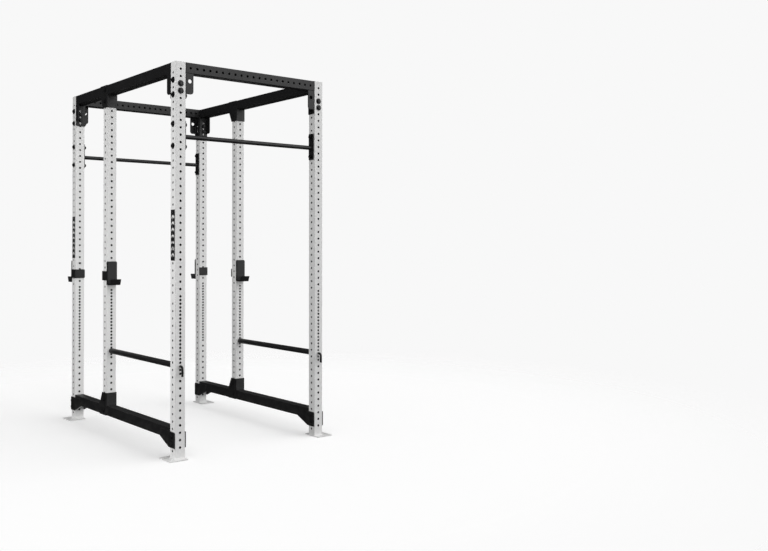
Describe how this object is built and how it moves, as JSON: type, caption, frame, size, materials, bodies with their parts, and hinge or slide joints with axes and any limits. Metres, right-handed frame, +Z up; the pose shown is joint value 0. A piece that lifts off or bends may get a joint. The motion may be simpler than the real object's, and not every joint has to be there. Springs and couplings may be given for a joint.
{
  "type": "power cage",
  "caption": "Free-standing power cage of punched square-tube uprights and bolted beams, with pull-up bars, pin-and-pipe safeties and swing-off J-cups.",
  "frame": {"origin": "on the floor, at the centre of the floor-anchor rectangle of the four corner feet", "axes": "+Z up; +Y to the rear, from the walk-in side with the safeties to the short bay; +X to the right seen from the front"},
  "size_m": [1.3646, 2.0734, 2.7496],
  "materials": {
    "white_paint": "fine-texture white powder coat",
    "black_paint": "fine-texture black powder coat",
    "black_oxide": "black zinc",
    "black_plastic": "moulded nylon",
    "cup_liner": "machined UHMW polyethylene",
    "label": "satin vinyl"
  },
  "bodies": {
    "frame": {"flat_washers": "black_oxide", "foot_plate_front_left": "white_paint", "foot_plate_front_right": "white_paint", "foot_plate_rear_left": "white_paint", "foot_plate_rear_right": "white_paint", "front_crossmember": "black_paint", "front_crossmember_flanges": "black_paint", "front_crossmember_gussets": "black_paint", "front_pullup_bar": "black_paint", "front_pullup_flanges": "black_paint", "hex_bolts": "black_oxide", "hex_nuts": "black_oxide", "left_low_beam": "black_paint", "left_low_beam_gussets": "black_paint", "left_low_saddle": "black_paint", "left_top_beam": "black_paint", "left_top_beam_flanges": "black_paint", "left_top_beam_gussets": "black_paint", "left_top_saddle": "black_paint", "rear_crossmember": "black_paint", "rear_crossmember_flanges": "black_paint", "rear_crossmember_gussets": "black_paint", "rear_pullup_bar": "black_paint", "rear_pullup_flanges": "black_paint", "right_low_beam": "black_paint", "right_low_beam_gussets": "black_paint", "right_low_saddle": "black_paint", "right_top_beam": "black_paint", "right_top_beam_flanges": "black_paint", "right_top_beam_gussets": "black_paint", "right_top_saddle": "black_paint", "upright_front_left": "white_paint", "upright_front_right": "white_paint", "upright_labels": "label", "upright_mid_left": "white_paint", "upright_mid_right": "white_paint", "upright_rear_left": "white_paint", "upright_rear_right": "white_paint", "upright_top_caps": "black_plastic"},
    "left_safety_pin_body": {"left_safety_pin": "black_oxide"},
    "left_safety_pipe_body": {"left_safety_pipe": "black_paint", "left_safety_bushes": "black_plastic"},
    "jcup_mid_left": {"jcup_mid_left_bracket": "black_paint", "jcup_mid_left_liner": "cup_liner", "jcup_mid_left_pin": "black_oxide"},
    "jcup_rear_left": {"jcup_rear_left_bracket": "black_paint", "jcup_rear_left_liner": "cup_liner", "jcup_rear_left_pin": "black_oxide"},
    "right_safety_pin_body": {"right_safety_pin": "black_oxide"},
    "right_safety_pipe_body": {"right_safety_pipe": "black_paint", "right_safety_bushes": "black_plastic"},
    "jcup_mid_right": {"jcup_mid_right_bracket": "black_paint", "jcup_mid_right_liner": "cup_liner", "jcup_mid_right_pin": "black_oxide"},
    "jcup_rear_right": {"jcup_rear_right_bracket": "black_paint", "jcup_rear_right_liner": "cup_liner", "jcup_rear_right_pin": "black_oxide"}
  },
  "joints": [
    {"name": "jcup_mid_left_swing", "type": "hinge", "parent": "frame", "child": "jcup_mid_left", "pos_m": [-0.5842, 0.254, 1.32715], "axis": [0, 1, 0], "range_deg": [0, 90]},
    {"name": "jcup_rear_left_swing", "type": "hinge", "parent": "frame", "child": "jcup_rear_left", "pos_m": [-0.5842, 0.9271, 1.32715], "axis": [0, 1, 0], "range_deg": [0, 90]},
    {"name": "left_safety_pin_slide", "type": "slide", "parent": "frame", "child": "left_safety_pin_body", "axis": [0, -1, 0], "range_m": [0, 1.275]},
    {"name": "left_safety_pipe_spin", "type": "hinge", "parent": "frame", "child": "left_safety_pipe_body", "pos_m": [-0.5842, -0.33655, 0.64135], "axis": [0, 1, 0], "continuous": true},
    {"name": "jcup_mid_right_swing", "type": "hinge", "parent": "frame", "child": "jcup_mid_right", "pos_m": [0.5842, 0.254, 1.32715], "axis": [0, -1, 0], "range_deg": [0, 90]},
    {"name": "jcup_rear_right_swing", "type": "hinge", "parent": "frame", "child": "jcup_rear_right", "pos_m": [0.5842, 0.9271, 1.32715], "axis": [0, -1, 0], "range_deg": [0, 90]},
    {"name": "right_safety_pin_slide", "type": "slide", "parent": "frame", "child": "right_safety_pin_body", "axis": [0, -1, 0], "range_m": [0, 1.275]},
    {"name": "right_safety_pipe_spin", "type": "hinge", "parent": "frame", "child": "right_safety_pipe_body", "pos_m": [0.5842, -0.33655, 0.64135], "axis": [0, 1, 0], "continuous": true}
  ]
}
